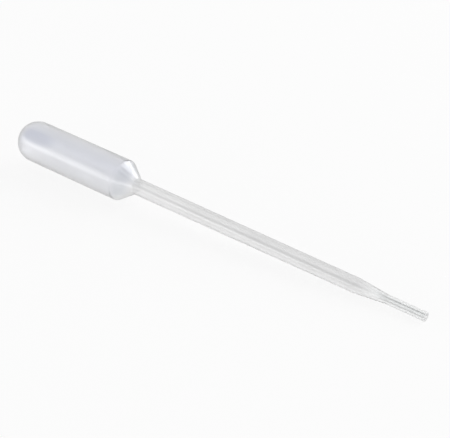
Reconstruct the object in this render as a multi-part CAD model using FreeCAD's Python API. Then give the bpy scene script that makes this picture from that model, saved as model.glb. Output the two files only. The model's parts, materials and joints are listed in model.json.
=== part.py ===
import FreeCAD, Part
import math
import os

# A disposable dropper pipette, blow-moulded in one piece from low-density polyethylene.
# A squeeze bulb with a domed end runs through a shoulder into a long, slightly tapered stem,
# and a short cone brings the stem down to a fine open tip. It is one thin wall all round one
# continuous inside. Sizes are in millimetres.
#
# The outline is drawn along its own axis, from the dome's end at 0 to the open tip. It is then
# laid down as it comes to rest, on the rim of the shoulder and the edge of the tip, with the
# bulb towards -X, the floor at Z = 0 and the origin under the middle of the part.

# Lengths along the axis
OVERALL_LENGTH = 150.0
BULB_LENGTH = 41.6
SHOULDER_LENGTH = 5.6
CONE_LENGTH = 10.0
TIP_LENGTH = 12.6

# Outer diameters
BULB_DIAMETER = 13.0
STEM_TOP_DIAMETER = 5.0
STEM_END_DIAMETER = 4.55
TIP_DIAMETER = 2.7

# Wall, thinnest where the bulb was blown out furthest
BULB_WALL = 0.45
STEM_WALL = 0.6
TIP_BORE = 1.3

# Outside rounds where the outline turns
RIM_ROUND = 0.8
NECK_ROUND = 1.6
CONE_START_ROUND = 9.0
CONE_END_ROUND = 6.0

# Flash line where the two halves of the mould met, in a plane through the axis
PARTING_RISE = 0.12
PARTING_WIDTH = 0.34
PARTING_TURN = 23.0

BULB_RADIUS = BULB_DIAMETER / 2
TIP_RADIUS = TIP_DIAMETER / 2
TIP_WALL = TIP_RADIUS - TIP_BORE / 2
TIP_START = OVERALL_LENGTH - TIP_LENGTH
CUT_OVERRUN = 1.0

AXIS_START = FreeCAD.Vector(0, 0, 0)
AXIS = FreeCAD.Vector(1, 0, 0)
ACROSS = FreeCAD.Vector(0, 1, 0)


def outline_corners():
    """Corners of the outside, as (along, radius), from the dome's foot to the open tip."""
    return [
        (BULB_RADIUS, BULB_RADIUS),
        (BULB_LENGTH, BULB_RADIUS),
        (BULB_LENGTH + SHOULDER_LENGTH, STEM_TOP_DIAMETER / 2),
        (TIP_START - CONE_LENGTH, STEM_END_DIAMETER / 2),
        (TIP_START, TIP_RADIUS),
        (OVERALL_LENGTH, TIP_RADIUS),
    ]


def slope(first, second):
    """Angle of the run between two corners, from the axis."""
    return math.atan2(second[1] - first[1], second[0] - first[0])


def inset(corners, depths):
    """Corners moved square to the outline by a depth each, inwards where it is positive."""
    moved = []
    last = len(corners) - 1
    for i, (along, radius) in enumerate(corners):
        before = slope(corners[max(i - 1, 0)], corners[max(i, 1)])
        after = slope(corners[min(i, last - 1)], corners[min(i + 1, last)])
        mitre = depths[i] / math.cos((after - before) / 2)
        lean = (before + after) / 2
        moved.append((along + mitre * math.sin(lean), radius - mitre * math.cos(lean)))
    return moved


def corner_round(before, corner, after, radius):
    """Start, middle, end and centre of the arc that rounds one corner."""
    turn = slope(corner, after) - slope(before, corner)
    reach = radius * math.tan(abs(turn) / 2)
    side = math.copysign(1, turn)
    angle_in = slope(before, corner)
    angle_out = slope(corner, after)
    start = (corner[0] - reach * math.cos(angle_in), corner[1] - reach * math.sin(angle_in))
    end = (corner[0] + reach * math.cos(angle_out), corner[1] + reach * math.sin(angle_out))
    centre = (
        start[0] - side * radius * math.sin(angle_in),
        start[1] + side * radius * math.cos(angle_in),
    )
    angle_mid = (angle_in + angle_out) / 2
    middle = (
        centre[0] + side * radius * math.sin(angle_mid),
        centre[1] - side * radius * math.cos(angle_mid),
    )
    return start, middle, end, centre


def point(place):
    """A corner of the outline as a point in the XZ plane."""
    return FreeCAD.Vector(place[0], 0, place[1])


def line(first, second):
    """Straight edge between two places on the outline."""
    return Part.LineSegment(point(first), point(second)).toShape()


def arc(first, middle, second):
    """Round edge through three places on the outline."""
    return Part.Arc(point(first), point(middle), point(second)).toShape()


def dome(start, foot):
    """Quarter circle from a place on the axis up to the dome's foot."""
    radius = foot[1]
    half = radius * math.sqrt(0.5)
    return arc(start, (foot[0] - half, half), foot)


def half_section(corners, rounds):
    """Flat face between the axis and a rounded outline that starts with a dome."""
    foot = corners[0]
    apex = (foot[0] - foot[1], 0)
    edges = [dome(apex, foot)]
    place = foot
    for i, radius in enumerate(rounds, start=1):
        start, middle, end, _ = corner_round(corners[i - 1], corners[i], corners[i + 1], radius)
        edges.append(line(place, start))
        edges.append(arc(start, middle, end))
        place = end
    finish = corners[-1]
    edges.append(line(place, finish))
    edges.append(line(finish, (finish[0], 0)))
    edges.append(line((finish[0], 0), apex))
    return Part.Face(Part.Wire(edges))


def outer_form():
    """The outside of the pipette, solid right through."""
    rounds = [RIM_ROUND, NECK_ROUND, CONE_START_ROUND, CONE_END_ROUND]
    return half_section(outline_corners(), rounds).revolve(AXIS_START, AXIS, 360)


def inside_form():
    """The space inside, run on past the open tip so that it cuts through."""
    walls = [BULB_WALL, BULB_WALL, STEM_WALL, STEM_WALL, TIP_WALL, TIP_WALL]
    corners = inset(outline_corners(), walls)
    corners[-1] = (OVERALL_LENGTH + CUT_OVERRUN, TIP_BORE / 2)
    rounds = [
        RIM_ROUND - BULB_WALL,
        NECK_ROUND + STEM_WALL,
        CONE_START_ROUND - STEM_WALL,
        CONE_END_ROUND + TIP_WALL,
    ]
    return half_section(corners, rounds).revolve(AXIS_START, AXIS, 360)


def parting_line():
    """Flash line down both sides, from the dome to the cone, where it sinks into the wall."""
    rise = -PARTING_RISE
    corners = inset(outline_corners()[:5], [rise, rise, rise, rise, PARTING_RISE])
    rounds = [
        RIM_ROUND + PARTING_RISE,
        NECK_ROUND - PARTING_RISE,
        CONE_START_ROUND + PARTING_RISE,
    ]
    face = half_section(corners, rounds)
    face.translate(ACROSS * (-PARTING_WIDTH / 2))
    near = face.extrude(ACROSS * PARTING_WIDTH)
    near.rotate(AXIS_START, AXIS, PARTING_TURN)
    far = near.copy()
    far.rotate(AXIS_START, AXIS, 180)
    return [near, far]


def tangent_lean(first, first_round, second, second_round):
    """Dip, from the axis, of the line that touches two rounds of the outline from outside."""
    run = second[0] - first[0]
    drop = first[1] - second[1]
    return math.atan2(drop, run) + math.asin((first_round - second_round) / math.hypot(run, drop))


def rest():
    """Lean of the axis at rest, and the floor's distance from the dome's end of the axis.

    The rim of the shoulder always touches. The other touch is the edge of the tip, or the foot
    of the stem where a long stem makes that stand out further.
    """
    corners = outline_corners()
    rim = corner_round(*corners[0:3], RIM_ROUND)[-1]
    stem_foot = corner_round(*corners[2:5], CONE_START_ROUND)[-1]
    lean = min(
        tangent_lean(rim, RIM_ROUND, stem_foot, CONE_START_ROUND),
        tangent_lean(rim, RIM_ROUND, corners[-1], 0),
    )
    return lean, rim[0] * math.sin(lean) + rim[1] * math.cos(lean) + RIM_ROUND


def lay_down(shape):
    """Lean the shape to its rest, then set the origin on the floor under its middle."""
    lean, floor_below = rest()
    shape.rotate(AXIS_START, ACROSS, math.degrees(lean))
    dome_end = BULB_RADIUS * math.cos(lean) - BULB_RADIUS - PARTING_RISE
    tip_end = OVERALL_LENGTH * math.cos(lean) + TIP_RADIUS * math.sin(lean)
    shape.translate(FreeCAD.Vector(-(dome_end + tip_end) / 2, 0, floor_below))
    return shape


def pipette_body():
    """The whole moulding: outside with its flash line, less the space inside."""
    moulding = outer_form().fuse(parting_line())
    hollow = moulding.cut(inside_form()).removeSplitter()
    (solid,) = hollow.Solids
    return lay_down(solid)


def main():
    """Write the one solid."""
    os.makedirs("parts", exist_ok=True)
    body = pipette_body()
    body.exportStep("parts/pipette_body.step")
    print("pipette_body valid", body.isValid(), "volume mm3", round(body.Volume, 2))
    print("lean deg", round(math.degrees(rest()[0]), 3), "centre of mass", body.CenterOfMass)


main()
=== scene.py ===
"""Looks of a disposable dropper pipette, blow-moulded in one piece from low-density polyethylene.

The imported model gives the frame: where the axis of the pipette lies and where it ends. One piece is
made here, the moulding itself, as a single closed wall with its true inside. Its section is an
outline of straight runs, rounds and two domes. A Geometry Nodes tree turns that round the axis,
raises the flash line and lets the wall wander a little, as a blown one does. The pipette's sizes
are in millimetres until a mesh or a material is made, and the studio's are in metres.
"""

import json
import logging
import math
from dataclasses import dataclass, field
from enum import Enum

import bpy
from mathutils import Matrix, Vector

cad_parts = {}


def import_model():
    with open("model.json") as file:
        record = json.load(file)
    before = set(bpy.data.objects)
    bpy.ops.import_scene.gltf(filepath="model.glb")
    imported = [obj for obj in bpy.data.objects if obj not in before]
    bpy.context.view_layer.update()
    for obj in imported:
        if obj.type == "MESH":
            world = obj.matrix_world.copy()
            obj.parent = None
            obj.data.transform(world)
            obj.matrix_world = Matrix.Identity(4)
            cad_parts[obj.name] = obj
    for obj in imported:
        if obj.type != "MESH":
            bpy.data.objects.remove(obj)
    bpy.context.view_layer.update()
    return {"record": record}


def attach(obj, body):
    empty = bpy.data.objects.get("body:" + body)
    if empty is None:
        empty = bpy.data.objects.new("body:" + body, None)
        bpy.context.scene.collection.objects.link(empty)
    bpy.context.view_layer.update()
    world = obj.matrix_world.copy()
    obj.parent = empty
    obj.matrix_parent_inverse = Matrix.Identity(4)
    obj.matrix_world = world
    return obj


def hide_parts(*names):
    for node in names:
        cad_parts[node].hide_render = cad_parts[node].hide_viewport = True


MM = 0.001
NODE = "pipette_body"
BODY = "root"
WHITE = "FFFFFF"
NOISE_AVERAGE = 0.5

# Points nearer than this, in metres, are one point: along the turned sheet's seam and at its poles.
SEAM_GAP = 2e-7

# What the turned wall writes on each of its points for the materials to read.
INSIDE = "inside"
ALONG = "along"
HEIGHT = "height"
# Marks the bands beside the flash line where the material paints shade.
SHADE_BAND = "shade_band"

# Where a node that mixes two colours takes them and gives the result.
FIRST_COLOUR, SECOND_COLOUR, MIXED_COLOUR = 6, 7, 2

Tree = bpy.types.NodeTree
Socket = bpy.types.NodeSocket
Span = tuple[float, float]
Triple = tuple[float, float, float]
InputValue = int | float | list[float] | bpy.types.Material

# What a range gives at its two ends.
RISING: Span = (0.0, 1.0)
FADING: Span = (1.0, 0.0)

# The kind of tree input that takes each kind of value.
INPUT_KINDS = {
    int: "NodeSocketInt",
    float: "NodeSocketFloat",
    list: "NodeSocketVector",
    bpy.types.Material: "NodeSocketMaterial",
}

log = logging.getLogger("pipette")


def linear(hex_colour: str) -> tuple[float, float, float, float]:
    """Turn an sRGB hex value into the linear colour that a shader takes.

    Args:
        hex_colour: Six hex digits, red first.

    Returns:
        Linear red, green and blue, with an alpha of 1.
    """
    parts = []
    for level in bytes.fromhex(hex_colour):
        share = level / 255
        parts.append(share / 12.92 if share <= 0.04045 else ((share + 0.055) / 1.055) ** 2.4)
    return (*parts, 1.0)


def add_node(
    tree: Tree, kind: str, feeds: dict | tuple = (), output: int | str = 0, **settings: str
) -> Socket | None:
    """Add one node to a tree, with its settings, plain values and links.

    Args:
        tree: The shader or geometry tree that gets the node.
        kind: Blender's name for the node's type.
        feeds: What goes into the inputs, each a socket to link or a value. A tuple fills them in
            order, with None where one keeps its default, and a dict by their names or numbers.
        output: Name or number of the output that is wanted.
        **settings: Properties of the node itself.

    Returns:
        The wanted output, or None for a node without outputs.
    """
    node = tree.nodes.new(kind)
    for name, value in settings.items():
        setattr(node, name, value)
    pairs = feeds.items() if isinstance(feeds, dict) else enumerate(feeds)
    for key, value in pairs:
        if isinstance(value, Socket):
            tree.links.new(value, node.inputs[key])
        elif value is not None:
            node.inputs[key].default_value = value
    return node.outputs[output] if len(node.outputs) else None


def sized_noise(tree: Tree, place: Socket, size: Triple, detail: float) -> Socket:
    """Make noise whose features have a real size.

    Args:
        tree: The tree that is being built.
        place: Where each point lies, in metres.
        size: How large the features are along each axis, in millimetres.
        detail: How much finer detail they carry.

    Returns:
        The noise, about 0.5 on average.
    """
    scale = [1 / (part * MM) for part in size]
    stretched = add_node(tree, "ShaderNodeVectorMath", (place, scale), operation="MULTIPLY")
    feeds = {"Vector": stretched, "Scale": 1.0, "Detail": detail}
    return add_node(tree, "ShaderNodeTexNoise", feeds)


def empty_material(name: str) -> bpy.types.Material:
    """Start a material.

    Args:
        name: The real material's name.

    Returns:
        The material, with nothing in its tree yet.
    """
    material = bpy.data.materials.new(name)
    material.use_nodes = True
    material.node_tree.nodes.clear()
    return material


class Side(Enum):
    """Which face of the wall a stretch of the outline belongs to."""

    OUTSIDE = 0.0
    INSIDE = 1.0


@dataclass(frozen=True)
class Spot:
    """One point of the wall's outline, in millimetres from the dome's end of the axis."""

    along: float
    radius: float
    heading: float
    side: Side

    def place(self) -> Triple:
        """Where it lies in the plane of the section, in metres."""
        return (self.along * MM, 0.0, self.radius * MM)

    def outward(self) -> Triple:
        """Unit vector square to the outline, away from the plastic."""
        return (-math.sin(self.heading), 0.0, math.cos(self.heading))


@dataclass(frozen=True)
class Corner:
    """A corner of the outline, and the round that takes its sharpness off."""

    along: float
    radius: float
    rounding: float
    side: Side


def run_angle(first: Corner | Spot, second: Corner | Spot) -> float:
    """Angle of the straight run between two places, from the axis."""
    return math.atan2(second.radius - first.radius, second.along - first.along)


@dataclass
class WallOutline:
    """Sizes of the moulding, and the outline of its wall cut in half along the axis."""

    overall_length: float = 150.0
    bulb_length: float = 41.6
    shoulder_length: float = 5.6
    cone_length: float = 10.0
    tip_length: float = 12.6
    bulb_radius: float = 6.5
    stem_top_radius: float = 2.5
    stem_end_radius: float = 2.275
    tip_radius: float = 1.35
    bulb_wall: float = 0.45
    stem_wall: float = 0.6
    bore_radius: float = 0.65
    rim_round: float = 0.8
    neck_round: float = 1.6
    cone_start_round: float = 9.0
    cone_end_round: float = 6.0
    cut_edge_round: float = 0.09
    # How finely the outline is walked: the rows of a dome and how they crowd towards its pole, the
    # longest step on a straight run, and the widest and the fewest steps round a corner.
    dome_rows: int = 44
    dome_crowding: float = 1.6
    longest_step: float = 1.1
    round_step: float = math.radians(6)
    fewest_round_steps: int = 4

    @property
    def tip_start(self) -> float:
        """Where the cone ends and the tip begins."""
        return self.overall_length - self.tip_length

    @property
    def cone_start(self) -> float:
        """Where the stem ends and the cone begins."""
        return self.tip_start - self.cone_length

    @property
    def neck(self) -> float:
        """Where the shoulder ends and the stem begins."""
        return self.bulb_length + self.shoulder_length

    @property
    def cone_middle(self) -> float:
        """Half-way down the cone."""
        return self.tip_start - self.cone_length / 2

    def outer_corners(self) -> list[Corner]:
        """List the corners of the outside.

        Returns:
            The rim of the bulb, the neck, and the cone's start and end.
        """
        return [
            Corner(self.bulb_length, self.bulb_radius, self.rim_round, Side.OUTSIDE),
            Corner(self.neck, self.stem_top_radius, self.neck_round, Side.OUTSIDE),
            Corner(self.cone_start, self.stem_end_radius, self.cone_start_round, Side.OUTSIDE),
            Corner(self.tip_start, self.tip_radius, self.cone_end_round, Side.OUTSIDE),
        ]

    def inner_corners(self) -> list[Corner]:
        """List the corners of the inside, each a wall's depth from its own corner outside.

        Returns:
            The same four corners, with rounds that keep the wall even through each bend.
        """
        foot = Corner(self.bulb_radius, self.bulb_radius, 0.0, Side.OUTSIDE)
        finish = Corner(self.overall_length, self.tip_radius, 0.0, Side.OUTSIDE)
        path = [foot, *self.outer_corners(), finish]
        tip_wall = self.tip_radius - self.bore_radius
        walls = [self.bulb_wall, self.stem_wall, self.stem_wall, tip_wall]
        moved = []
        for before, corner, after, wall in zip(path, path[1:], path[2:], walls):
            angle_in = run_angle(before, corner)
            angle_out = run_angle(corner, after)
            mitre = wall / math.cos((angle_out - angle_in) / 2)
            lean = (angle_in + angle_out) / 2
            along = corner.along + mitre * math.sin(lean)
            radius = corner.radius - mitre * math.cos(lean)
            rounding = corner.rounding + math.copysign(wall, angle_out - angle_in)
            moved.append(Corner(along, radius, rounding, Side.INSIDE))
        return moved

    def spots(self) -> list[Spot]:
        """Walk round the whole wall.

        Returns:
            Points from the dome's outer pole along the outside, over the cut end of the tip and
            back along the inside to the dome's inner pole.
        """
        outer_dome = self.dome(self.bulb_radius, Side.OUTSIDE)
        inner_dome = self.dome(self.bulb_radius - self.bulb_wall, Side.INSIDE)[::-1]
        corners = [
            *self.outer_corners(),
            Corner(self.overall_length, self.tip_radius, self.cut_edge_round, Side.OUTSIDE),
            Corner(self.overall_length, self.bore_radius, self.cut_edge_round, Side.INSIDE),
            *reversed(self.inner_corners()),
        ]
        path = [outer_dome[-1], *corners, inner_dome[0]]
        walk = outer_dome
        for before, corner, after in zip(path, path[1:], path[2:]):
            bend = self.bend(before, corner, after)
            walk = walk + self.run(walk[-1], bend[0]) + bend
        return walk + self.run(walk[-1], inner_dome[0]) + inner_dome

    def dome(self, radius: float, side: Side) -> list[Spot]:
        """Walk down one dome, with the points closer towards its pole.

        Args:
            radius: Radius of the dome.
            side: The face of the wall it belongs to.

        Returns:
            Points of the quarter circle, from its pole to its foot.
        """
        spots = []
        for i in range(self.dome_rows + 1):
            turned = math.pi / 2 * (1 - (i / self.dome_rows) ** self.dome_crowding)
            along = self.bulb_radius - radius * math.sin(turned)
            heading = turned if side is Side.OUTSIDE else turned + math.pi
            spots.append(Spot(along, radius * math.cos(turned), heading, side))
        return spots

    def bend(self, before: Corner | Spot, corner: Corner, after: Corner | Spot) -> list[Spot]:
        """Walk round one corner.

        Args:
            before: The place before the corner.
            corner: The corner that is rounded.
            after: The place after the corner.

        Returns:
            Points of the arc, from one straight run to the next.
        """
        angle_in = run_angle(before, corner)
        turn = math.remainder(run_angle(corner, after) - angle_in, math.tau)
        reach = corner.rounding * math.tan(abs(turn) / 2)
        swing = math.copysign(corner.rounding, turn)
        centre_along = corner.along - reach * math.cos(angle_in) - swing * math.sin(angle_in)
        centre_radius = corner.radius - reach * math.sin(angle_in) + swing * math.cos(angle_in)
        steps = max(self.fewest_round_steps, math.ceil(abs(turn) / self.round_step))
        spots = []
        for i in range(steps + 1):
            heading = angle_in + turn * i / steps
            along = centre_along + swing * math.sin(heading)
            radius = centre_radius - swing * math.cos(heading)
            spots.append(Spot(along, radius, heading, corner.side))
        return spots

    def run(self, first: Spot, second: Spot) -> list[Spot]:
        """Walk along a straight run.

        Args:
            first: Where the run starts.
            second: Where the run ends.

        Returns:
            Evenly spaced points between the two, without either.
        """
        rise = second.radius - first.radius
        reach = second.along - first.along
        steps = math.ceil(math.hypot(reach, rise) / self.longest_step)
        heading = run_angle(first, second)
        spots = []
        for i in range(1, steps):
            along = first.along + reach * i / steps
            radius = first.radius + rise * i / steps
            spots.append(Spot(along, radius, heading, first.side))
        return spots

    def mesh(self, name: str) -> bpy.types.Mesh:
        """Make the outline as a line of points.

        Args:
            name: Name of the mesh.

        Returns:
            The mesh, whose points carry their outward direction and their side.
        """
        spots = self.spots()
        places = [spot.place() for spot in spots]
        joins = [(i, i + 1) for i in range(len(spots) - 1)]
        mesh = bpy.data.meshes.new(name)
        mesh.from_pydata(places, joins, [])
        outward = mesh.attributes.new("outward", "FLOAT_VECTOR", "POINT")
        outward.data.foreach_set("vector", [part for spot in spots for part in spot.outward()])
        inside = mesh.attributes.new(INSIDE, "FLOAT", "POINT")
        inside.data.foreach_set("value", [spot.side.value for spot in spots])
        return mesh


@dataclass
class TurnedWall:
    """Geometry Nodes that turn the outline round the axis and give the wall its small relief."""

    name: str = "turned_wall"
    wander_detail: float = 1.0
    identifiers: dict[str, str] = field(default_factory=dict)
    tree: Tree = field(init=False)
    given: bpy.types.NodeOutputs = field(init=False)

    def build(self, values: dict[str, InputValue]) -> Tree:
        """Make the tree, and note the identifier of each of its inputs.

        Args:
            values: What each named input is going to be set to.

        Returns:
            The finished tree.
        """
        tree = bpy.data.node_groups.new(self.name, "GeometryNodeTree")
        tree.interface.new_socket("Outline", in_out="INPUT", socket_type="NodeSocketGeometry")
        tree.interface.new_socket("Wall", in_out="OUTPUT", socket_type="NodeSocketGeometry")
        for name, value in values.items():
            kind = INPUT_KINDS[type(value)]
            made = tree.interface.new_socket(name, in_out="INPUT", socket_type=kind)
            self.identifiers[name] = made.identifier
        self.tree = tree
        self.given = add_node(tree, "NodeGroupInput").node.outputs
        grid, row, column = self.sheet()
        place = self.sampled(row, "position", "FLOAT_VECTOR")
        outward = self.sampled(row, "outward", "FLOAT_VECTOR")
        inside = self.sampled(row, INSIDE, "FLOAT")
        angle = self.angle(column, place)
        base = self.turned(place, angle)
        facing = self.turned(outward, angle)
        relief = {"Vector": facing, "Scale": self.relief(base, inside)}
        lift = add_node(tree, "ShaderNodeVectorMath", relief, operation="SCALE")
        moved = add_node(tree, "ShaderNodeVectorMath", (base, lift), operation="ADD")
        lean = {"Vector": moved, "Angle": self.given["Flash turn"]}
        leant = add_node(tree, "ShaderNodeVectorRotate", lean, rotation_type="X_AXIS")
        marks = {
            INSIDE: inside,
            ALONG: add_node(tree, "ShaderNodeSeparateXYZ", (base,), "X"),
            HEIGHT: self.height(place, leant),
            SHADE_BAND: self.shade_band(base),
        }
        steps = (
            ("GeometryNodeSetPosition", {"Position": leant}),
            ("GeometryNodeMergeByDistance", {"Distance": SEAM_GAP}),
            ("GeometryNodeSetShadeSmooth", {}),
            ("GeometryNodeRealizeInstances", {}),
            ("GeometryNodeSetMaterial", {"Material": self.given["Finish"]}),
            ("GeometryNodeSetMaterial", self.cut_face()),
        )
        wall = self.marked(grid, marks)
        for kind, feeds in steps:
            wall = add_node(tree, kind, {"Geometry": wall, **feeds})
        add_node(tree, "NodeGroupOutput", (wall,))
        return tree

    def sheet(self) -> tuple[Socket, Socket, Socket]:
        """Flat grid with a row for each point of the outline.

        Returns:
            The grid, and each vertex's row and column. The last column lies on the first.
        """
        tree = self.tree
        line = (self.given["Outline"],)
        rows = add_node(tree, "GeometryNodeAttributeDomainSize", line, "Point Count", component="MESH")
        # Two half turns, and one column more that closes on the first.
        both = (self.half_turn(), 2, 1)
        columns = add_node(tree, "FunctionNodeIntegerMath", both, operation="MULTIPLY_ADD")
        counts = {"Vertices X": rows, "Vertices Y": columns}
        grid = add_node(tree, "GeometryNodeMeshGrid", counts, "Mesh")
        index = add_node(tree, "GeometryNodeInputIndex")
        row = add_node(tree, "FunctionNodeIntegerMath", (index, columns), operation="DIVIDE_FLOOR")
        column = add_node(tree, "FunctionNodeIntegerMath", (index, columns), operation="MODULO")
        return grid, row, column

    def half_turn(self) -> Socket:
        """Count the columns in half a turn: those across one flash line and those between two."""
        both = (self.given["Flash columns"], self.given["Plain columns"])
        return add_node(self.tree, "FunctionNodeIntegerMath", both, operation="ADD")

    def sampled(self, row: Socket, name: str, kind: str) -> Socket:
        """Read what the outline's point of each row carries.

        Args:
            row: Each vertex's row.
            name: Name of the value.
            kind: Blender's name for the value's type.

        Returns:
            The value at each vertex.
        """
        carried = add_node(
            self.tree, "GeometryNodeInputNamedAttribute", {"Name": name}, "Attribute", data_type=kind
        )
        feeds = {"Geometry": self.given["Outline"], "Value": carried, "Index": row}
        return add_node(self.tree, "GeometryNodeSampleIndex", feeds, data_type=kind)

    def angle(self, column: Socket, place: Socket) -> Socket:
        """How far round each column stands from the upper flash line.

        The columns are crowded across both flash lines, which are as wide everywhere, and spread
        evenly between them.

        Args:
            column: Each vertex's column.
            place: Each row's place on the outline, whose Z is its radius.

        Returns:
            The angle, in radians.
        """
        tree = self.tree
        half = self.half_turn()
        crowded = self.given["Flash columns"]
        width = self.given["Flash half width"]
        turns = add_node(tree, "FunctionNodeIntegerMath", (column, half), operation="DIVIDE_FLOOR")
        step = add_node(tree, "FunctionNodeIntegerMath", (column, half), operation="MODULO")
        left = add_node(tree, "ShaderNodeMath", (0.0, width), operation="SUBTRACT")
        across = add_node(tree, "ShaderNodeMapRange", (step, None, crowded, left, width))
        share = add_node(tree, "ShaderNodeMapRange", (step, crowded, half))
        radius = add_node(tree, "ShaderNodeSeparateXYZ", (place,), "Z")
        reach = add_node(tree, "ShaderNodeMath", (radius, width), operation="ADD")
        near = add_node(tree, "ShaderNodeMath", (across, reach), operation="DIVIDE")
        edge = add_node(tree, "ShaderNodeMath", (width, reach), operation="DIVIDE")
        # Half a turn, less half a flash line at each of its two ends.
        between = add_node(tree, "ShaderNodeMath", (edge, -2.0, math.pi), operation="MULTIPLY_ADD")
        spread = add_node(tree, "ShaderNodeMath", (share, between, near), operation="MULTIPLY_ADD")
        return add_node(tree, "ShaderNodeMath", (turns, math.pi, spread), operation="MULTIPLY_ADD")

    def turned(self, vector: Socket, angle: Socket) -> Socket:
        """Turn a vector of the outline's plane round the axis, from straight up.

        Args:
            vector: The vector at each vertex.
            angle: How far round each vertex stands.

        Returns:
            The turned vector.
        """
        back = add_node(self.tree, "ShaderNodeMath", (0.0, angle), operation="SUBTRACT")
        feeds = {"Vector": vector, "Angle": back}
        return add_node(self.tree, "ShaderNodeVectorRotate", feeds, rotation_type="X_AXIS")

    def marked(self, sheet: Socket, marks: dict[str, Socket]) -> Socket:
        """Write values on the sheet for the materials to read.

        Args:
            sheet: The sheet that takes them.
            marks: Each value at every vertex, under its name.

        Returns:
            The sheet with the values on it.
        """
        kind = "GeometryNodeStoreNamedAttribute"
        for name, value in marks.items():
            feeds = {"Geometry": sheet, "Name": name, "Value": value}
            sheet = add_node(self.tree, kind, feeds, data_type="FLOAT", domain="POINT")
        return sheet

    def height(self, place: Socket, leant: Socket) -> Socket:
        """Find how high each vertex stands round the wall.

        Args:
            place: Each row's place on the outline, whose Z is its radius.
            leant: Each vertex's place round the axis.

        Returns:
            1 on top, 0 level with the axis and -1 below.
        """
        rise = add_node(self.tree, "ShaderNodeSeparateXYZ", (leant,), "Z")
        radius = add_node(self.tree, "ShaderNodeSeparateXYZ", (place,), "Z")
        return add_node(self.tree, "ShaderNodeMath", (rise, radius), operation="DIVIDE")

    def shade_band(self, base: Socket) -> Socket:
        """Mark the bands along each side of the flash line where the material paints shade.

        Args:
            base: Each vertex's place on the plain wall, with the flash line straight up and down.

        Returns:
            1 in the middle of a band and 0 outside it. The bands come and go on the shoulder, start
            again at the neck and fade out along the cone.
        """
        tree = self.tree
        given = self.given
        parts = add_node(tree, "ShaderNodeSeparateXYZ", (base,)).node.outputs
        aside = add_node(tree, "ShaderNodeMath", (parts["Y"],), operation="ABSOLUTE")
        off = add_node(tree, "ShaderNodeMath", (aside, given["Shade band offset"]), operation="SUBTRACT")
        away = add_node(tree, "ShaderNodeMath", (off,), operation="ABSOLUTE")
        stem = (given["Shade band full at"], given["Shade band fades from"])
        widths = (given["Shade band half width"], given["Shade band widest"])
        width = add_node(tree, "ShaderNodeMapRange", (parts["X"], *stem, *widths))
        across = (away, None, width, *FADING)
        band = add_node(tree, "ShaderNodeMapRange", across, interpolation_type="SMOOTHSTEP")
        rises, sinks, starts, ends = (
            add_node(tree, "ShaderNodeMapRange", (parts["X"], given[first], given[last], *levels))
            for first, last, levels in (
                ("Bulb ends at", "Shade band peaks at", RISING),
                ("Shade band peaks at", "Stem starts at", FADING),
                ("Stem starts at", "Shade band full at", RISING),
                ("Shade band fades from", "Shade band ends at", FADING),
            )
        )
        shoulder = add_node(tree, "ShaderNodeMath", (rises, sinks), operation="MINIMUM")
        either = add_node(tree, "ShaderNodeMath", (shoulder, starts), operation="MAXIMUM")
        faded = add_node(tree, "ShaderNodeMath", (band, ends), operation="MULTIPLY")
        return add_node(tree, "ShaderNodeMath", (faded, either), operation="MULTIPLY")

    def relief(self, base: Socket, inside: Socket) -> Socket:
        """Raise the flash line and let the wall wander.

        Args:
            base: Each vertex's place on the plain wall, with the flash line straight up and down.
            inside: 1 on the inside of the wall and 0 on the outside.

        Returns:
            How far each vertex stands out from the outline, which is nothing at the tip.
        """
        tree = self.tree
        given = self.given
        parts = add_node(tree, "ShaderNodeSeparateXYZ", (base,)).node.outputs
        aside = add_node(tree, "ShaderNodeMath", (parts["Y"],), operation="ABSOLUTE")
        shoulder = (given["Bulb ends at"], given["Stem starts at"])
        rises = (given["Bulb flash rise"], given["Stem flash rise"])
        rise = add_node(tree, "ShaderNodeMapRange", (parts["X"], *shoulder, *rises))
        across = (aside, None, given["Flash half width"], rise, 0.0)
        ridge = add_node(tree, "ShaderNodeMapRange", across, interpolation_type="SMOOTHSTEP")
        sized = (base, given["Wander size"])
        stretched = add_node(tree, "ShaderNodeVectorMath", sized, operation="DIVIDE")
        feeds = {"Vector": stretched, "W": given["Seed"], "Scale": 1.0, "Detail": self.wander_detail}
        noise = add_node(tree, "ShaderNodeTexNoise", feeds, noise_dimensions="4D")
        centred = add_node(tree, "ShaderNodeMath", (noise, NOISE_AVERAGE), operation="SUBTRACT")
        outside = (centred, given["Outside wander"], ridge)
        outer = add_node(tree, "ShaderNodeMath", outside, operation="MULTIPLY_ADD")
        inner = add_node(
            tree, "ShaderNodeMath", (centred, given["Inside wander"]), operation="MULTIPLY"
        )
        either = add_node(tree, "ShaderNodeMix", (inside, None, outer, inner))
        cone = (parts["X"], given["Relief fades from"], given["Relief ends at"], *FADING)
        fade = add_node(tree, "ShaderNodeMapRange", cone, interpolation_type="SMOOTHSTEP")
        return add_node(tree, "ShaderNodeMath", (either, fade), operation="MULTIPLY")

    def cut_face(self) -> dict[str, Socket]:
        """Pick out the cut end of the tip.

        Returns:
            What dresses it: the faces, by how far along the axis they lie, and their finish.
        """
        where = add_node(self.tree, "GeometryNodeInputPosition")
        along = add_node(self.tree, "ShaderNodeSeparateXYZ", (where,), "X")
        past = (along, self.given["Cut face from"])
        faces = add_node(self.tree, "ShaderNodeMath", past, operation="GREATER_THAN")
        return {"Selection": faces, "Material": self.given["Cut finish"]}


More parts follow.
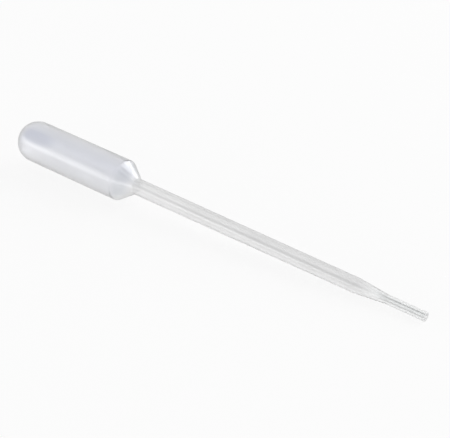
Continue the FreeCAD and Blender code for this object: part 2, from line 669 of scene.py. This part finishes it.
@dataclass(frozen=True)
class BlowMouldedPolyethylene:
    """Natural low-density polyethylene, blow-moulded against a satin steel mould.

    The plain resin is faintly blue and milky: light comes through it, but what lies behind is
    softened. The bulb looks the cloudiest. Painted shade darkens and blues a patch by the weld that
    shuts its end, and painted light makes the bulb clearer below and lifts the wall towards white
    where it turns edge on, so that the outline isn't hard. The shoulder is thicker and darker, the
    stem is clearer and the tip the clearest. Painted shade lays soft grey lines in bands beside the
    flash line and on the edges of the fine bore. The outside takes a soft gloss from the mould, a
    little uneven where the skin chilled; the inside, which touched nothing, is smooth.
    """

    name: str = "blow_moulded_ldpe"
    bulb_tint: str = "F0F1F5"
    shoulder_tint: str = "E4E6EA"
    stem_tint: str = "FCFCFC"
    tip_tint: str = "FCFDFD"
    # Where the shoulder has its full tint, as shares of its length.
    shoulder_span: Span = (0.25, 0.5)
    # The painted shade patch, a darker blue by the dome's weld, whose colour is full within the first
    # share of its size and gone at the other.
    shade_patch_tint: str = "DFE1E9"
    shade_patch_size: Triple = (7.6, 2.7, 2.4)
    shade_patch_edge: Span = (0.5, 1.3)
    # Painted light on the underside: white at the first height round the wall and as cloudy as the
    # rest at the other.
    underside_light_heights: Span = (-1.0, -0.3)
    # Painted rim light: how far the colour goes towards white, and how far the wall has turned from
    # the eye, from 0 face on to 1 edge on, as that starts and ends.
    rim_light: float = 0.9
    rim_rises: Span = (0.2, 0.75)
    # Painted shade in the bands beside the flash line: the share of light taken off at their middle.
    shade_band_depth: float = 0.16
    # The edges of the bore, whose shade comes and goes as the wall turns from the eye.
    bore_shade: float = 0.66
    bore_rises: Span = (0.07, 0.25)
    bore_goes: Span = (0.4, 0.6)
    # Faint clouds in the colour: how far they go either way, their size and the part of the noise
    # over which they do.
    clouds: float = 0.03
    cloud_size: Triple = (14.0, 5.0, 5.0)
    cloud_detail: float = 3.0
    cloud_span: Span = (0.3, 0.7)
    ior: float = 1.51
    smoothest: float = 0.279
    roughest: float = 0.31
    inside_roughness: float = 0.0
    # Patches in the gloss, from the smoothest to the roughest.
    patch_size: Triple = (9.0, 3.0, 3.0)
    patch_detail: float = 2.0
    patch_span: Span = (0.35, 0.65)
    clearness: float = 0.995

    def make(self, outline: WallOutline, shade_patch_at: Vector) -> bpy.types.Material:
        """Build the material.

        Args:
            outline: Sizes of the moulding, for where the tint changes and the bore narrows.
            shade_patch_at: Middle of the painted shade patch, in metres.

        Returns:
            The finished material.
        """
        material = empty_material(self.name)
        tree = material.node_tree
        place = add_node(tree, "ShaderNodeTexCoord", output="Object")
        marks = {
            name: add_node(tree, "ShaderNodeAttribute", output="Fac", attribute_name=name)
            for name in (INSIDE, ALONG, HEIGHT, SHADE_BAND)
        }
        colour = self.clouded(tree, place, self.plain(tree, place, marks, outline, shade_patch_at))
        for shade in (self.shade_band(tree, marks), self.bore(tree, marks, outline)):
            shaded = {"Vector": colour, "Scale": shade}
            colour = add_node(tree, "ShaderNodeVectorMath", shaded, operation="SCALE")
        feeds = {
            "Base Color": colour,
            "Roughness": self.gloss(tree, place, marks),
            "IOR": self.ior,
            "Transmission Weight": self.clearness,
        }
        shader = add_node(tree, "ShaderNodeBsdfPrincipled", feeds)
        add_node(tree, "ShaderNodeOutputMaterial", {"Surface": shader})
        return material

    def ramp(self, tree: Tree, along: Socket, outline: WallOutline) -> Socket:
        """Tint the wall along the axis: bulb, shoulder, stem and tip, each easing into the next.

        Args:
            tree: The tree that is being built.
            along: How far along the axis each point lies.
            outline: Sizes of the moulding.

        Returns:
            The tint.
        """
        length = outline.overall_length
        first, last = (
            outline.bulb_length + part * outline.shoulder_length for part in self.shoulder_span
        )
        stops = (
            (outline.bulb_length, self.bulb_tint),
            (first, self.shoulder_tint),
            (last, self.shoulder_tint),
            (outline.neck, self.stem_tint),
            (outline.cone_start, self.stem_tint),
            (outline.tip_start, self.tip_tint),
        )
        share = add_node(tree, "ShaderNodeMath", (along, length * MM), operation="DIVIDE")
        tint = add_node(tree, "ShaderNodeValToRGB", (share,))
        ramp = tint.node.color_ramp
        ramp.interpolation = "EASE"
        ramp.elements.remove(ramp.elements[-1])
        ramp.elements[0].color = linear(self.bulb_tint)
        for place, hex_colour in stops:
            ramp.elements.new(place / length).color = linear(hex_colour)
        return tint

    def plain(
        self,
        tree: Tree,
        place: Socket,
        marks: dict[str, Socket],
        outline: WallOutline,
        shade_patch_at: Vector,
    ) -> Socket:
        """Colour the light that comes through, with painted light below and at the rim and a painted
        darker blue patch by the dome's weld.

        Args:
            tree: The tree that is being built.
            place: Where each point lies, in metres.
            marks: What the wall carries on its points.
            outline: Sizes of the moulding.
            shade_patch_at: Middle of the painted shade patch, in metres.

        Returns:
            The colour, without clouds or shades.
        """
        away = add_node(tree, "ShaderNodeVectorMath", (place, shade_patch_at), operation="SUBTRACT")
        size = [part * MM for part in self.shade_patch_size]
        scaled = add_node(tree, "ShaderNodeVectorMath", (away, size), operation="DIVIDE")
        reach = add_node(tree, "ShaderNodeVectorMath", (scaled,), "Value", operation="LENGTH")
        slant = add_node(tree, "ShaderNodeLayerWeight", output="Facing")
        layers = (
            # Painted light: the colour goes to white on the underside.
            (marks[HEIGHT], self.underside_light_heights, FADING, WHITE),
            # Painted shade: a darker blue patch by the dome's weld.
            (reach, self.shade_patch_edge, FADING, self.shade_patch_tint),
            # Painted rim light: the colour goes towards white where the wall turns edge on.
            (slant, self.rim_rises, (0.0, self.rim_light), WHITE),
        )
        colour = self.ramp(tree, marks[ALONG], outline)
        for value, span, levels, tint in layers:
            feeds = (value, *span, *levels)
            share = add_node(tree, "ShaderNodeMapRange", feeds, interpolation_type="SMOOTHSTEP")
            mix = {"Factor": share, FIRST_COLOUR: colour, SECOND_COLOUR: linear(tint)}
            colour = add_node(tree, "ShaderNodeMix", mix, MIXED_COLOUR, data_type="RGBA")
        return colour

    def clouded(self, tree: Tree, place: Socket, colour: Socket) -> Socket:
        """Lay faint clouds, drawn out along the axis, over a colour.

        Args:
            tree: The tree that is being built.
            place: Where each point lies, in metres.
            colour: The colour that takes them.

        Returns:
            The clouded colour.
        """
        cloud = sized_noise(tree, place, self.cloud_size, self.cloud_detail)
        feeds = (cloud, *self.cloud_span, 1 - self.clouds, 1 + self.clouds)
        level = add_node(tree, "ShaderNodeMapRange", feeds)
        levelled = {"Vector": colour, "Scale": level}
        return add_node(tree, "ShaderNodeVectorMath", levelled, operation="SCALE")

    def shade_band(self, tree: Tree, marks: dict[str, Socket]) -> Socket:
        """Paint shade in the bands beside the flash line, down to the share of light that is left."""
        return add_node(
            tree, "ShaderNodeMapRange", (marks[SHADE_BAND], None, None, 1.0, 1 - self.shade_band_depth)
        )

    def bore(self, tree: Tree, marks: dict[str, Socket], outline: WallOutline) -> Socket:
        """Shade both edges of the fine bore, where its side is seen at a slant.

        Args:
            tree: The tree that is being built.
            marks: What the wall carries on its points.
            outline: Sizes of the moulding.

        Returns:
            The share of the light that is left.
        """
        slant = add_node(tree, "ShaderNodeLayerWeight", output="Facing")
        rises, goes = (
            add_node(tree, "ShaderNodeMapRange", feeds, interpolation_type="SMOOTHSTEP")
            for feeds in ((slant, *self.bore_rises, *RISING), (slant, *self.bore_goes, *FADING))
        )
        edge = add_node(tree, "ShaderNodeMath", (rises, goes), operation="MULTIPLY")
        within = add_node(tree, "ShaderNodeMath", (marks[INSIDE], edge), operation="MULTIPLY")
        cone = (outline.cone_middle * MM, outline.tip_start * MM)
        narrow = add_node(tree, "ShaderNodeMapRange", (marks[ALONG], *cone, 0.0, -self.bore_shade))
        return add_node(tree, "ShaderNodeMath", (within, narrow, 1.0), operation="MULTIPLY_ADD")

    def gloss(self, tree: Tree, place: Socket, marks: dict[str, Socket]) -> Socket:
        """Give the outside a satin gloss, a little uneven, and the inside a high one.

        Args:
            tree: The tree that is being built.
            place: Where each point lies, in metres.
            marks: What the wall carries on its points.

        Returns:
            The roughness.
        """
        patch = sized_noise(tree, place, self.patch_size, self.patch_detail)
        feeds = (patch, *self.patch_span, self.smoothest, self.roughest)
        satin = add_node(tree, "ShaderNodeMapRange", feeds)
        return add_node(tree, "ShaderNodeMix", (marks[INSIDE], None, satin, self.inside_roughness))


@dataclass(frozen=True)
class CutPolyethylene:
    """The same plastic where a blade has cut it, torn fine enough to look white and dull.

    The blade's fine streaks run straight across the end and show as lighter and darker lines.
    A faint painted glow, standing in for light that the wall carries along inside itself and lets
    out here, lifts the end a little.
    """

    name: str = "cut_ldpe"
    light: str = "FDFDFD"
    dark: str = "F0F1F2"
    smoothest: float = 0.45
    roughest: float = 0.7
    ior: float = 1.51
    streak_size: Triple = (0.3, 0.9, 0.07)
    streak_detail: float = 3.0
    streak_span: Span = (0.3, 0.7)
    streak_height: float = 0.01
    # Strength of the painted glow that lifts the cut end.
    painted_end_glow: float = 0.17
    # How far the cut finish runs back from the end, in millimetres, over the rounded edges.
    reach: float = 0.095

    def make(self) -> bpy.types.Material:
        """Build the material.

        Returns:
            The finished material.
        """
        material = empty_material(self.name)
        tree = material.node_tree
        place = add_node(tree, "ShaderNodeTexCoord", output="Object")
        streaks = sized_noise(tree, place, self.streak_size, self.streak_detail)
        share = add_node(tree, "ShaderNodeMapRange", (streaks, *self.streak_span))
        mix = {"Factor": share, FIRST_COLOUR: linear(self.dark), SECOND_COLOUR: linear(self.light)}
        bump = {"Height": streaks, "Distance": self.streak_height * MM}
        feeds = {
            "Base Color": add_node(tree, "ShaderNodeMix", mix, MIXED_COLOUR, data_type="RGBA"),
            "Roughness": add_node(tree, "ShaderNodeMix", (share, None, self.roughest, self.smoothest)),
            "IOR": self.ior,
            "Normal": add_node(tree, "ShaderNodeBump", bump),
            # Painted glow on the cut end.
            "Emission Color": linear(self.light),
            "Emission Strength": self.painted_end_glow,
        }
        shader = add_node(tree, "ShaderNodeBsdfPrincipled", feeds)
        add_node(tree, "ShaderNodeOutputMaterial", {"Surface": shader})
        return material


@dataclass
class PipetteBody:
    """The whole moulding: bulb, shoulder, stem, cone and tip in one wall."""

    outline: WallOutline
    finish: BlowMouldedPolyethylene
    cut_finish: CutPolyethylene
    # Middle of the painted shade patch by the dome's weld, in millimetres in the outline's frame.
    shade_patch_at: Triple = (9.6, -4.4, 4.8)
    bulb_flash_rise: float = 0.03
    stem_flash_rise: float = 0.1
    flash_half_width: float = 0.19
    flash_turn: float = math.radians(25)
    # The painted shade bands beside the flash line: how far they lie from it, how wide they are and
    # how wide they grow.
    shade_band_offset: float = 0.8
    shade_band_half_width: float = 0.5
    shade_band_widest: float = 1.1
    # Where on the shoulder the painted shade bands peak, as a share of its length, and how long they
    # take to rise to their full strength on the stem.
    shade_band_peak: float = 1 / 3
    shade_band_rises_over: float = 3.0
    flash_columns: int = 12
    plain_columns: int = 52
    outside_wander: float = 0.05
    inside_wander: float = 0.09
    wander_size: Triple = (16.0, 4.0, 4.0)
    seed: float = 5.0

    def inputs(self, placement: Matrix) -> dict[str, InputValue]:
        """Work out what the turned wall's inputs are set to.

        Args:
            placement: From the outline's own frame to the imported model's frame.

        Returns:
            The value of each input, with lengths in metres.
        """
        outline = self.outline
        lengths = {
            "Bulb flash rise": self.bulb_flash_rise,
            "Stem flash rise": self.stem_flash_rise,
            "Bulb ends at": outline.bulb_length,
            "Stem starts at": outline.neck,
            "Flash half width": self.flash_half_width,
            "Shade band offset": self.shade_band_offset,
            "Shade band half width": self.shade_band_half_width,
            "Shade band widest": self.shade_band_widest,
            "Shade band peaks at": outline.bulb_length + self.shade_band_peak * outline.shoulder_length,
            "Shade band full at": outline.neck + self.shade_band_rises_over,
            "Shade band fades from": outline.cone_start,
            "Shade band ends at": outline.cone_middle,
            "Relief fades from": outline.cone_start,
            "Relief ends at": outline.tip_start,
            "Outside wander": self.outside_wander,
            "Inside wander": self.inside_wander,
            "Cut face from": outline.overall_length - self.cut_finish.reach,
        }
        return {
            "Flash columns": self.flash_columns,
            "Plain columns": self.plain_columns,
            "Flash turn": self.flash_turn,
            "Wander size": [size * MM for size in self.wander_size],
            "Seed": self.seed,
            "Finish": self.finish.make(outline, placement @ (Vector(self.shade_patch_at) * MM)),
            "Cut finish": self.cut_finish.make(),
            **{name: length * MM for name, length in lengths.items()},
        }

    def build(self, placement: Matrix) -> bpy.types.Object:
        """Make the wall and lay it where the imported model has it.

        Args:
            placement: From the outline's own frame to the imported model's frame.

        Returns:
            The finished piece, at the origin, with its place in its mesh.
        """
        source = bpy.data.objects.new("wall_outline", self.outline.mesh("wall_outline"))
        bpy.context.scene.collection.objects.link(source)
        wall = TurnedWall()
        values = self.inputs(placement)
        modifier = source.modifiers.new(wall.name, "NODES")
        modifier.node_group = wall.build(values)
        for name, value in values.items():
            modifier[wall.identifiers[name]] = value
        seen = source.evaluated_get(bpy.context.evaluated_depsgraph_get())
        mesh = bpy.data.meshes.new_from_object(seen)
        source.modifiers.remove(modifier)
        bpy.data.objects.remove(source)
        mesh.name = "blown_wall"
        mesh.transform(placement)
        piece = bpy.data.objects.new("blown_wall", mesh)
        bpy.context.scene.collection.objects.link(piece)
        return piece


def axis_placement(record: dict, overall_length: float) -> Matrix:
    """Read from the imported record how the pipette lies.

    Args:
        record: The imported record, whose tip mounts lie on the axis.
        overall_length: Length along the axis, in millimetres.

    Returns:
        The matrix that takes the dome's end of the axis, the axis and straight up to their places.
    """
    (tip,) = [mount for mount in record["mounts"] if mount["name"] == "tip_outside"]
    along = Vector(tip["axis"]).normalized()
    tip_end = Vector(tip["pos_m"]) + along * (tip["dims"]["length_mm"] / 2 * MM)
    across = Vector((0, 1, 0))
    up = along.cross(across)
    placement = Matrix((along, across, up)).transposed().to_4x4()
    placement.translation = tip_end - along * overall_length * MM
    return placement


@dataclass(frozen=True)
class Softbox:
    """A soft rectangular lamp that faces the pipette.

    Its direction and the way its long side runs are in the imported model's frame, and its sizes and
    distance are in metres.
    """

    name: str
    towards: Triple
    long_side: Triple
    distance: float
    length: float
    width: float
    radiance: float

    def build(self) -> None:
        """Make the lamp, as bright as its radiance and its size ask."""
        data = bpy.data.lights.new(self.name, "AREA")
        data.shape = "RECTANGLE"
        data.size = self.length
        data.size_y = self.width
        data.energy = self.radiance * math.pi * self.length * self.width
        back = Vector(self.towards).normalized()
        side = Vector(self.long_side)
        side = (side - side.project(back)).normalized()
        lamp = bpy.data.objects.new(self.name, data)
        lamp.matrix_world = Matrix((side, back.cross(side), back)).transposed().to_4x4()
        lamp.location = back * self.distance
        bpy.context.scene.collection.objects.link(lamp)


@dataclass(frozen=True)
class Studio:
    """Pale floor, soft lamps and the pale room round them. The floor's size is in metres."""

    floor_size: float = 6.0
    floor_colour: str = "5E5E5E"
    # How bright the light from below makes the floor, where 1 is white.
    floor_glow: float = 0.885
    # Brightness of the walls and the ceiling, the heights between which one becomes the other, and
    # the direction in which height is measured.
    walls: float = 0.95
    ceiling: float = 0.36
    walls_end: float = 0.487
    ceiling_starts: float = 0.62
    ceiling_tilt: Triple = (0.0, -0.25, 1.0)
    lamps: tuple[Softbox, ...] = (
        Softbox("side_softbox", (-0.50, -0.84, 0.055), (0.84, -0.5, 0.0), 0.7, 0.5, 0.14, 2.3),
        Softbox("upper_side_softbox", (-0.78, -0.60, 0.245), (0.6, -0.78, 0.0), 0.72, 0.5, 0.136, 1.7),
        Softbox("front_softbox", (0.33, -0.94, 0.085), (0.94, 0.33, 0.0), 0.7, 0.8, 0.12, 3.4),
        Softbox("back_softbox", (0.3243, 0.7698, 0.5357), (-0.523, 0.608, -0.61), 1.0, 1.05, 0.3, 4.3),
    )

    def build(self) -> None:
        """Make the floor, the room and the lamps."""
        self.floor()
        self.room()
        for lamp in self.lamps:
            lamp.build()

    def floor(self) -> None:
        """Lay the floor, a dull sheet of opal acrylic lit evenly from below.

        That light reaches the eye directly, in a gloss or through the plastic, but lights nothing,
        so that the pipette is lit from above and keeps its shadow.
        """
        half = self.floor_size / 2
        corners = [(-half, -half, 0), (half, -half, 0), (half, half, 0), (-half, half, 0)]
        mesh = bpy.data.meshes.new("floor")
        mesh.from_pydata(corners, [], [(0, 1, 2, 3)])
        floor = bpy.data.objects.new("floor", mesh)
        bpy.context.scene.collection.objects.link(floor)
        material = empty_material("opal_acrylic")
        tree = material.node_tree
        rays = add_node(tree, "ShaderNodeLightPath").node.outputs
        seen = rays["Is Camera Ray"]
        for kind in ("Is Glossy Ray", "Is Transmission Ray"):
            seen = add_node(tree, "ShaderNodeMath", (seen, rays[kind]), operation="MAXIMUM")
        strength = add_node(tree, "ShaderNodeMath", (seen, self.floor_glow), operation="MULTIPLY")
        feeds = {
            "Base Color": linear(self.floor_colour),
            "Specular IOR Level": 0.0,
            "Emission Color": linear(WHITE),
            "Emission Strength": strength,
        }
        sheet = add_node(tree, "ShaderNodeBsdfPrincipled", feeds)
        add_node(tree, "ShaderNodeOutputMaterial", {"Surface": sheet})
        mesh.materials.append(material)

    def room(self) -> None:
        """Put up the room: pale walls, higher at the back, and a darker ceiling."""
        world = bpy.data.worlds.new("pale_room")
        bpy.context.scene.world = world
        world.use_nodes = True
        tree = world.node_tree
        tree.nodes.clear()
        towards = add_node(tree, "ShaderNodeTexCoord", output="Generated")
        tilted = (towards, self.ceiling_tilt)
        height = add_node(tree, "ShaderNodeVectorMath", tilted, "Value", operation="DOT_PRODUCT")
        feeds = (height, self.walls_end, self.ceiling_starts, self.walls, self.ceiling)
        level = add_node(tree, "ShaderNodeMapRange", feeds, interpolation_type="SMOOTHSTEP")
        light = add_node(tree, "ShaderNodeBackground", {"Color": linear(WHITE), "Strength": level})
        add_node(tree, "ShaderNodeOutputWorld", {"Surface": light})


@dataclass
class LongLens:
    """The camera: a long lens that looks down past the tip from its right.

    Its distances from the middle of the pipette are in millimetres.
    """

    azimuth: float = math.radians(37.716)
    elevation: float = math.radians(30.90)
    distance: float = 480.0
    lens: float = 130.42
    sensor_width: float = 36.0
    aside: float = 4.65
    # Nearest and furthest that the camera sees, in metres.
    clip: Span = (0.01, 20.0)

    def build(self, middle: Vector) -> None:
        """Make the camera.

        Args:
            middle: The middle of the pipette's axis, in metres.
        """
        back = Vector(
            (
                math.sin(self.azimuth) * math.cos(self.elevation),
                -math.cos(self.azimuth) * math.cos(self.elevation),
                math.sin(self.elevation),
            )
        )
        right = Vector((math.cos(self.azimuth), math.sin(self.azimuth), 0))
        data = bpy.data.cameras.new("long_lens")
        data.lens = self.lens
        data.sensor_width = self.sensor_width
        data.clip_start, data.clip_end = self.clip
        camera = bpy.data.objects.new("long_lens", data)
        camera.location = middle + right * (self.aside * MM) + back * (self.distance * MM)
        camera.rotation_mode = "QUATERNION"
        camera.rotation_quaternion = (-back).to_track_quat("-Z", "Y")
        bpy.context.scene.collection.objects.link(camera)
        bpy.context.scene.camera = camera


def main() -> None:
    """Build the piece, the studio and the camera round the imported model."""
    logging.basicConfig(level=logging.INFO, format="%(name)s: %(message)s")
    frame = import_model()
    outline = WallOutline()
    placement = axis_placement(frame["record"], outline.overall_length)

    body = PipetteBody(outline, BlowMouldedPolyethylene(), CutPolyethylene()).build(placement)
    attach(body, BODY)
    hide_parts(NODE)
    log.info("%s: %d faces", body.name, len(body.data.polygons))

    Studio().build()
    LongLens().build(placement @ Vector((outline.overall_length / 2 * MM, 0, 0)))
    bpy.context.scene.view_settings.view_transform = "Standard"


if __name__ == "__main__":
    main()
